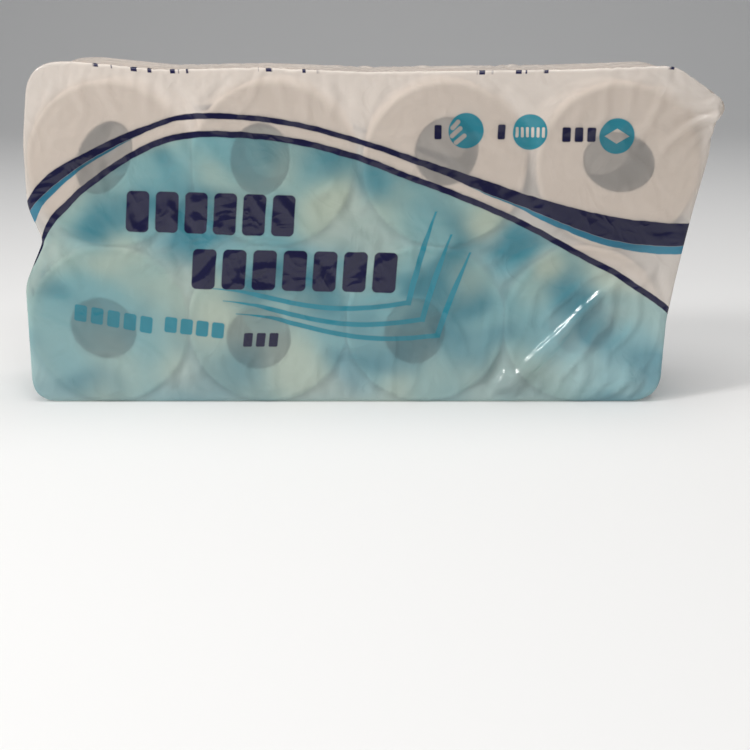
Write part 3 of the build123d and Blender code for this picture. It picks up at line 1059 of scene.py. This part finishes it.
# ------------------------------------------------------------------ end welds
def make_weld(grid, p, end):
    """The bag's welded end: a strip that stands on the end's middle line and
    lies folded towards the back."""
    nx, ny, nz = grid.n
    cap = grid.ids[0 if end < 0 else nx]
    across = 7
    outside, inside = [], []
    ks = range(3, nz - 2)
    r = np.random.default_rng(11 + end)
    wob = np.cumsum(r.normal(0, 0.35, nz + 1))
    wob -= np.linspace(wob[0], wob[-1], nz + 1)
    for k in ks:
        base = p[cap[ny // 2, k]]
        z = base[2]
        rows_out, rows_in = [], []
        lift = 7.0 + 5.0 * math.sin(z * 0.045 + end)
        wide = 10.5 + 0.35 * wob[k]
        phi = math.radians(lift)
        d = np.array([end * math.sin(phi), math.cos(phi), 0.0])
        nrm = np.array([end * math.cos(phi), -math.sin(phi), 0.0])
        for q in range(across + 1):
            u = q / across
            bend = math.sin(u * math.pi) * 0.5
            c = base + d * wide * u + nrm * (0.55 + bend)
            # never inside the film below it
            y = c[1]
            col = p[cap[:, k]]
            x_film = np.interp(y, col[:, 1], col[:, 0])
            if (c[0] - x_film) * end < 0.35:
                c[0] = x_film + end * 0.35
            c[2] += 0.5 * math.sin(k * 0.9 + q) * u
            rows_out.append(c + nrm * 0.18)
            rows_in.append(c - nrm * 0.18)
        outside.append(rows_out)
        inside.append(rows_in)
    out, inn = np.array(outside), np.array(inside)
    m, w = out.shape[0], out.shape[1]
    pts = np.concatenate([out.reshape(-1, 3), inn.reshape(-1, 3)])
    off = m * w
    faces = []
    for i in range(m - 1):
        for q in range(w - 1):
            a, b, c, d = i * w + q, i * w + q + 1, (i + 1) * w + q + 1, (i + 1) * w + q
            faces += [(a, b, c, d), (d + off, c + off, b + off, a + off)]
        for q in (0, w - 1):
            a, b = i * w + q, (i + 1) * w + q
            faces.append((a, b, b + off, a + off) if q else (b, a, a + off, b + off))
    for i in (0, m - 1):
        for q in range(w - 1):
            a, b = i * w + q, i * w + q + 1
            faces.append((b, a, a + off, b + off) if not i else (a, b, b + off, a + off))
    if end < 0:
        faces = [f[::-1] for f in faces]
    ob = new_mesh("film_weld_left" if end < 0 else "film_weld_right", pts, faces)
    # the print runs on up to the welded edge
    across_mm = np.tile(np.tile(np.linspace(0, 10.5, w), m), 2)
    s = pts[:, 0] + end * (FACE_Y + across_mm)
    a = ob.data.attributes.new("print", "FLOAT_VECTOR", "POINT")
    a.data.foreach_set("vector", np.stack([s, pts[:, 2], 0 * s], 1).ravel())
    a = ob.data.attributes.new("off_paper", "FLOAT", "POINT")
    a.data.foreach_set("value", np.ones(len(pts)))
    return ob


# -------------------------------------------------------------------- build it
grid, points = make_film()
bag = new_mesh("film_bag", points, grid.quads())
x, y, z = grid.flat.T
i, j, k = grid.ijk.T
nx, ny, nz = grid.n
drop = FACE_Y - np.abs(y)
s, v = x.copy(), z.copy()
s = np.where(i == 0, x - drop, np.where(i == nx, x + drop, s))
v = np.where(k == nz, z + drop, np.where(k == 0, z - drop, v))
a = bag.data.attributes.new("print", "FLOAT_VECTOR", "POINT")
a.data.foreach_set("vector", np.stack([s, v, y], 1).ravel())
# how far each point stands off the paper, from 0 on it to 1
gap = np.hypot(x[:, None] - CENTRES[:, 0], z[:, None] - CENTRES[:, 1]).min(1) - ROLL_R
a = bag.data.attributes.new("off_paper", "FLOAT", "POINT")
a.data.foreach_set("value", smoothstep(-5.0, 6.0, gap) * (np.abs(y) > FACE_Y - 0.1))
printed = film_material("printed_film")
bag.data.materials.append(printed)
declare(bag, "film_wrap")

for end in (-1, 1):
    weld = make_weld(grid, points, end)
    weld.data.materials.append(printed)
    declare(weld, None)

paper, board = paper_material(), board_material()
for key in ROLLS:
    ob = make_roll(key, rng)
    ob.data.materials.append(paper)
    declare(ob, "roll_" + key)
    core = frame["nodes"]["core_" + key]
    for slot_ in core.material_slots:
        slot_.material = board
    if not core.material_slots:
        core.data.materials.append(board)

# ------------------------------------------------------- floor, lights, camera
prof = [(-7.0, 0.0), (2.2, 0.0)]
for q in range(1, 17):
    w = math.radians(90 * q / 16)
    prof.append((2.2 + 1.6 * math.sin(w), 1.6 - 1.6 * math.cos(w)))
prof.append((3.8, 6.0))
pts = [(sx * 7000.0, py * 1000, pz * 1000) for sx in (-1, 1) for py, pz in prof]
m = len(prof)
floor = new_mesh("studio_floor", pts, [(q, q + m, q + m + 1, q + 1) for q in range(m - 1)])
t = Tree("pale_floor")
b = t.node("ShaderNodeBsdfPrincipled")
b.inputs["Base Color"].default_value = (0.86, 0.86, 0.86, 1)
b.inputs["Roughness"].default_value = 0.85
floor.data.materials.append(t.finish(b.outputs[0]))

world = bpy.data.worlds.new("studio")
bpy.context.scene.world = world
world.use_nodes = True
world.node_tree.nodes["Background"].inputs[0].default_value = (0.93, 0.96, 1.0, 1)
world.node_tree.nodes["Background"].inputs[1].default_value = 0.2


def lamp(name, at, to, wide, high, watts, colour=(1, 1, 1)):
    data = bpy.data.lights.new(name, "AREA")
    data.shape, data.size, data.size_y = "RECTANGLE", wide, high
    data.energy, data.color = watts, colour
    ob = bpy.data.objects.new(name, data)
    bpy.context.scene.collection.objects.link(ob)
    ob.location = at
    ob.rotation_euler = (Vector(to) - Vector(at)).to_track_quat("-Z", "Y").to_euler()


lamp("overhead", (0.1, -0.1, 2.3), (0, 0, 0), 2.2, 1.6, 30, (1.0, 0.98, 0.95))
lamp("key_left", (-1.35, -0.9, 1.3), (0, 0, 0.12), 0.4, 0.4, 19, (1.0, 0.98, 0.96))
lamp("glint_front", (0.5, -1.3, 1.75), (0, 0, 0.12), 0.5, 0.12, 6)

cam = bpy.data.cameras.new("camera")
cam.lens, cam.sensor_width = 61.97, 36.0
cam.clip_end = 50
ob = bpy.data.objects.new("camera", cam)
bpy.context.scene.collection.objects.link(ob)
ob.location = (0.00515, -0.9485, 0.270)
ob.rotation_euler = (math.radians(74.5), 0, 0)
bpy.context.scene.camera = ob
bpy.context.scene.view_settings.view_transform = "Standard"

bpy.context.view_layer.update()
